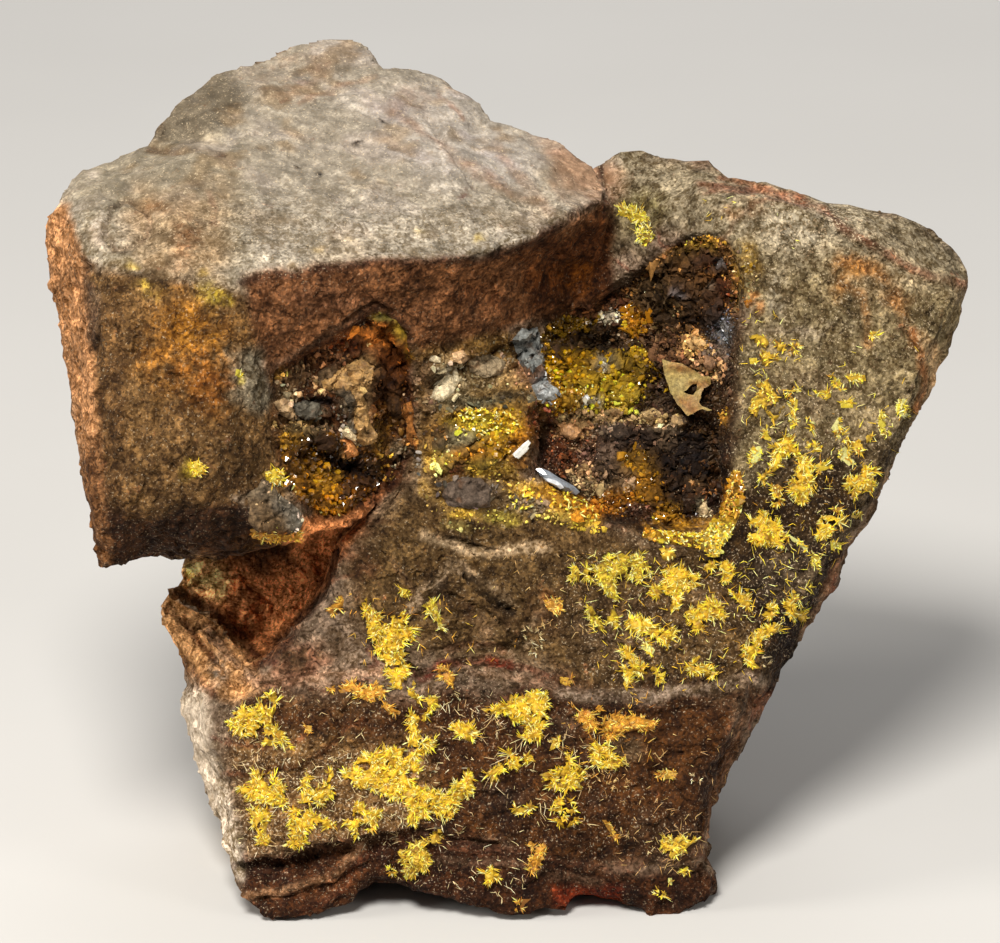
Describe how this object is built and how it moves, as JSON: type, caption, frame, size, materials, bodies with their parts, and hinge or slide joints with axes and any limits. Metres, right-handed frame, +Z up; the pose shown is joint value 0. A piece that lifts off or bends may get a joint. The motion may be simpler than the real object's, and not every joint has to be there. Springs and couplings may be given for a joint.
{
  "type": "mimetite specimen on matrix",
  "caption": "Broken block of dark volcanic rock with two crystal-lined cavities and yellow to orange mimetite needle sprays, resting on its flat fracture base.",
  "frame": {"origin": "middle of the footprint box, on the resting plane", "axes": "+Z up; the display face with its cavities and sprays looks along -Y and leans back; +X to the right as seen from the front"},
  "size_m": [0.062, 0.0399, 0.0512],
  "materials": {
    "matrix_rock": "dull fine-grained volcanic rock, grey to red-brown, rusty along cracks",
    "mimetite_yellow": "bright yellow needle sprays, waxy to glassy",
    "mimetite_greenish": "greenish yellow needle mats, waxy",
    "mimetite_golden": "golden yellow blades and crusts, waxy to glassy",
    "mimetite_orange": "orange needle sprays, waxy",
    "amber_druse": "see-through amber-brown crystals, glassy",
    "goethite_lining": "black-brown sparkling lining",
    "rust_crust": "orange to tan earthy crust",
    "grey_quartz": "grey glassy grains",
    "tan_flake": "tan curled flake, satin",
    "glassy_crystal": "clear bluish white, glassy"
  },
  "bodies": {
    "root": {"big_middle_spray": "mimetite_yellow", "block_grey_crystals": "grey_quartz", "bottom_edge_spray": "mimetite_golden", "bottom_star": "mimetite_yellow", "curved_side_spray": "mimetite_yellow", "edge_corner_spray": "mimetite_yellow", "edge_hook_spray": "mimetite_yellow", "edge_lower_spray": "mimetite_yellow", "edge_small_star": "mimetite_yellow", "edge_upper_spray": "mimetite_yellow", "flake_peak_spray": "mimetite_greenish", "foot_right_star": "mimetite_golden", "glassy_plate": "glassy_crystal", "hanging_branch_spray": "mimetite_yellow", "ledge_grey_crystals": "grey_quartz", "ledge_orange_crust": "mimetite_golden", "ledge_yellow_crust": "mimetite_greenish", "left_foot_spray": "mimetite_yellow", "left_foot_stem": "mimetite_yellow", "left_vug_amber_druse": "amber_druse", "left_vug_rust_crust": "rust_crust", "left_yellow_spray": "mimetite_yellow", "lone_star_spray": "mimetite_yellow", "long_central_spray": "mimetite_yellow", "long_low_spray": "mimetite_yellow", "low_right_burst": "mimetite_yellow", "lower_left_fork": "mimetite_yellow", "lower_left_patch": "mimetite_yellow", "main_vug_amber_druse": "amber_druse", "main_vug_dark_druse": "goethite_lining", "main_vug_goethite": "goethite_lining", "matrix": "matrix_rock", "middle_band_spray": "mimetite_yellow", "orange_cross_spray": "mimetite_orange", "orange_needle_left": "mimetite_orange", "orange_needle_right": "mimetite_orange", "orange_spray_arm": "mimetite_orange", "orange_star_spray": "mimetite_orange", "orange_stem_spray": "mimetite_orange", "pale_needle_bundle": "mimetite_greenish", "right_band_spray": "mimetite_yellow", "right_blade_spray": "mimetite_golden", "right_column_spray": "mimetite_yellow", "right_corner_spray": "mimetite_golden", "right_low_spray": "mimetite_yellow", "right_net_spray": "mimetite_yellow", "right_star_spray": "mimetite_yellow", "round_spray": "mimetite_yellow", "short_branch_spray": "mimetite_greenish", "small_forked_spray": "mimetite_yellow", "star_spray": "mimetite_yellow", "star_spray_lower": "mimetite_yellow", "tan_flake": "tan_flake", "upper_band_knot": "mimetite_golden", "upper_band_spray": "mimetite_greenish", "upper_right_blades": "mimetite_golden", "vug_rim_orange_crust": "mimetite_golden", "vug_rim_yellow_druse": "mimetite_golden", "white_prism": "glassy_crystal"}
  },
  "joints": []
}
